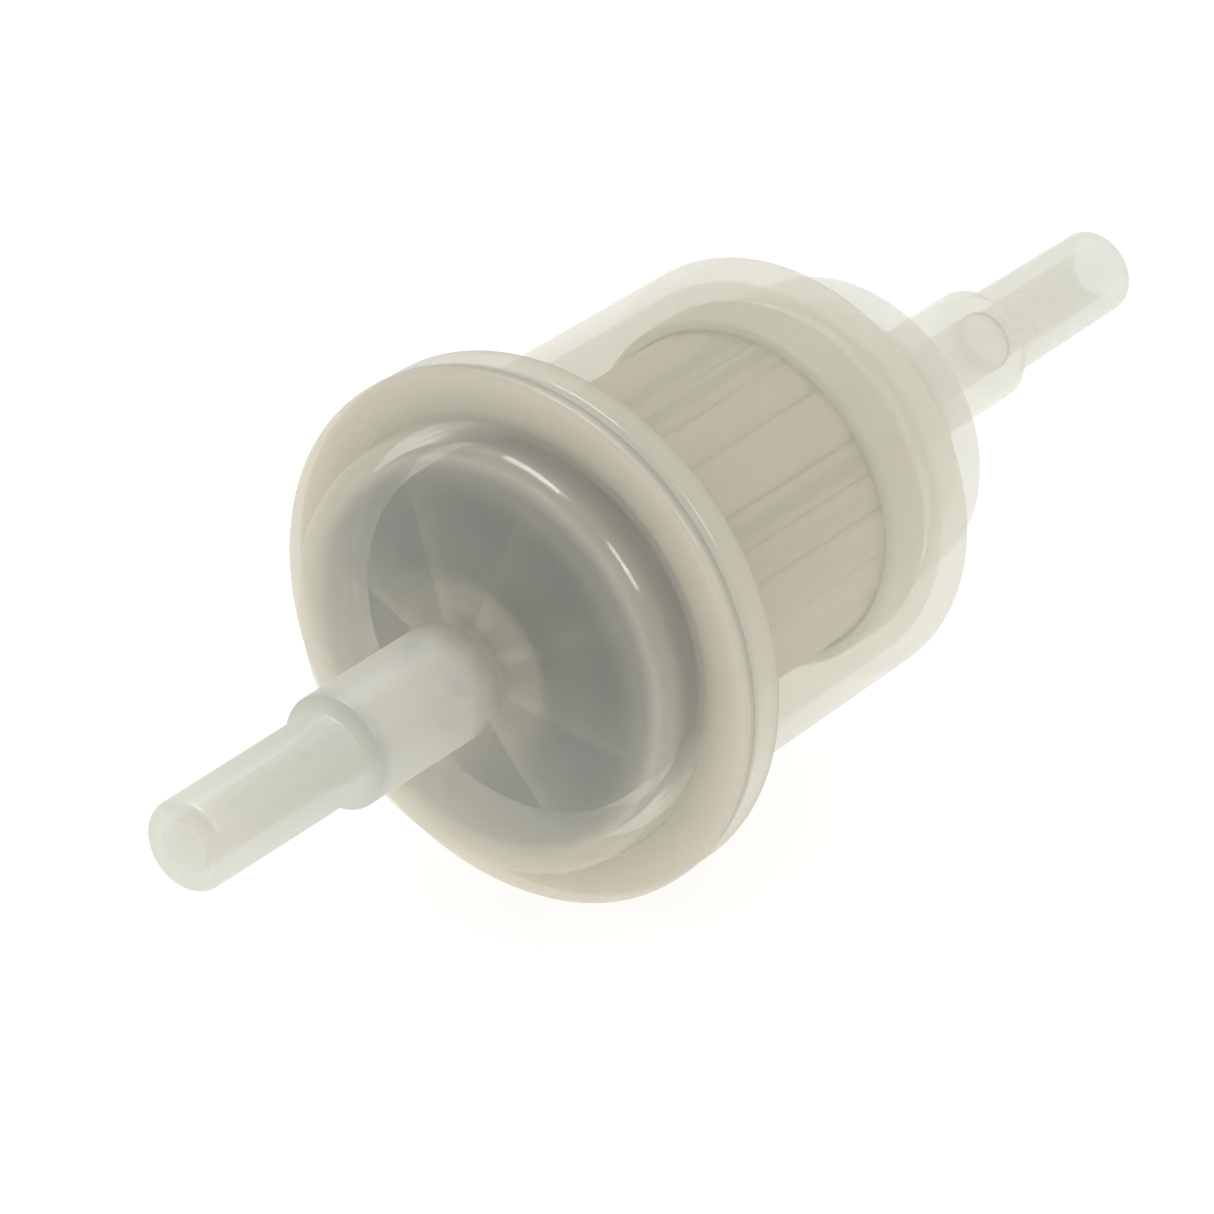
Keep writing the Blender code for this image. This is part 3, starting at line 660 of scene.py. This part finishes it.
def make_camera():
    """The camera, turned about Z and lifted, and moved a little to the side and down."""
    right = np.array((math.cos(CAMERA_TURN), math.sin(CAMERA_TURN), 0))
    back = np.array((math.sin(CAMERA_TURN) * math.cos(CAMERA_LIFT),
                     -math.cos(CAMERA_TURN) * math.cos(CAMERA_LIFT), math.sin(CAMERA_LIFT)))
    up = np.cross(back, right)
    data = bpy.data.cameras.new("camera")
    data.sensor_width = SENSOR
    data.lens = FOCAL_LENGTH
    data.clip_start, data.clip_end = 0.01, 20.0
    camera = bpy.data.objects.new("camera", data)
    bpy.context.scene.collection.objects.link(camera)
    turn = Matrix((right, up, back)).transposed()
    camera.matrix_world = turn.to_4x4()
    camera.location = right * CAMERA_SIDE + up * CAMERA_RISE + back * CAMERA_DISTANCE
    bpy.context.scene.camera = camera


def make_floor():
    """A wide pale square that the flange rests on. It glows a little, so that shadows stay faint."""
    z = cad_low.z - FLOOR_GAP
    turns = ((-1, -1), (1, -1), (1, 1), (-1, 1))
    mesh = bpy.data.meshes.new("floor")
    mesh.from_pydata([(x * FLOOR_REACH, y * FLOOR_REACH, z) for x, y in turns], [], [(0, 1, 2, 3)])
    n = Nodes("pale_floor")
    seen = n.add("ShaderNodeLightPath").outputs["Is Camera Ray"]
    glow = n.spread(seen, FLOOR_GLOW, FLOOR_GLOW_SEEN)
    shader = n.add("ShaderNodeBsdfPrincipled", {"Base Color": FLOOR_GREY, "Roughness": 0.9,
                                                "Specular IOR Level": 0.1, "Emission Color": WHITE,
                                                "Emission Strength": glow})
    mesh.materials.append(n.finish(shader.outputs[0]))
    floor = bpy.data.objects.new("floor", mesh)
    bpy.context.scene.collection.objects.link(floor)


def make_lamp(name, middle, length, width, power, along):
    """A flat lamp that faces the origin, with its long side turned towards the direction along."""
    data = bpy.data.lights.new(name, "AREA")
    data.shape = "RECTANGLE"
    data.size, data.size_y = length, width
    data.energy = power
    back = Vector(middle).normalized()
    side = (Vector(along) - back * back.dot(Vector(along))).normalized()
    turn = Matrix((side, back.cross(side), back)).transposed()
    lamp = bpy.data.objects.new(name, data)
    bpy.context.scene.collection.objects.link(lamp)
    lamp.matrix_world = Matrix.Translation(middle) @ turn.to_4x4()
    return lamp


def make_light():
    """A soft white surround that looks paler than it lights, one big lamp above, and two narrow
    lamps that show only in reflections, which run along the dome's shoulder."""
    world = bpy.data.worlds.new("studio")
    bpy.context.scene.world = world
    world.use_nodes = True
    tree = world.node_tree
    tree.nodes["Background"].inputs[0].default_value = WHITE
    path = tree.nodes.new("ShaderNodeLightPath")
    level = tree.nodes.new("ShaderNodeMapRange")
    tree.links.new(path.outputs["Is Camera Ray"], level.inputs["Value"])
    level.inputs["To Min"].default_value = WORLD_GLOW
    level.inputs["To Max"].default_value = WORLD_GLOW_SEEN
    tree.links.new(level.outputs[0], tree.nodes["Background"].inputs[1])
    make_lamp("top_softbox", (0.35, 0.3, 0.9), 0.8, 0.8, 2.4, (1, 0, 0))
    above = Vector((0.33, 0.15, 0.93)) * STRIP_DISTANCE
    beside = Vector((0.277, -0.69, 0.66)) * STRIP_DISTANCE
    upper = make_lamp("upper_strip", above, 0.48, 0.2, 11.0, (0.06, 0.505, -0.105))
    side = make_lamp("side_strip", beside, 0.34, 0.16, 6.5, (0.0, 0.263, 0.271))
    for strip in (upper, side):
        strip.visible_diffuse = False
        strip.visible_transmission = False


# ---------------------------------------------------------------- assembly

shell = milky_material("milky_plastic", WARM_MILK_SHELL, roughness=0.13, grain_depth=0.06)
ribbing = milky_material("rib_plastic", WARM_MILK_RIBS, roughness=0.3, grain_depth=0.01)
# Near black, partly painted shade like the end disc; it goes on the core tube
disc = satin_material("disc_plastic", (0.105, 0.12, 0.125), (0.085, 0.10, 0.105), 0.45, 220.0)
rim = satin_material("rim_plastic", (0.66, 0.65, 0.56), (0.60, 0.59, 0.51), 0.45, 220.0)
paper = paper_material()
adhesive = satin_material("cured_adhesive", (0.62, 0.52, 0.32), (0.54, 0.44, 0.26), 0.35, 300.0)
rubber = satin_material("seal_rubber", (0.03, 0.03, 0.03), (0.045, 0.045, 0.045), 0.6, 400.0)


def put(piece, slot, *nodes):
    """The piece stands for those CAD nodes and rides on the root body. The slot is not used."""
    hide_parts(*nodes)
    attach(piece, "root")


put(make_cap(shell), "milky_plastic", "inlet_cap")
put(make_ribs(ribbing), "milky_plastic", "inlet_cap")
put(make_weld(shell), "milky_plastic", "inlet_cap")
put(make_housing(shell), "milky_plastic", "housing")
put(make_inlet_disc(disc_material()), "disc_plastic", "inlet_end_disc")
put(make_outlet_disc(rim), "disc_plastic", "outlet_end_disc")
put(make_pleats(paper), "filter_paper", "pleated_paper")
for node, finish in (("core_tube", disc), ("inlet_end_adhesive", adhesive),
                     ("outlet_end_adhesive", adhesive), ("outlet_seal", rubber)):
    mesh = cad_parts[node].data
    mesh.materials.clear()
    mesh.materials.append(finish)

make_camera()
make_floor()
make_light()
scene = bpy.context.scene
scene.view_settings.view_transform = "Standard"
scene.cycles.transparent_max_bounces = 32
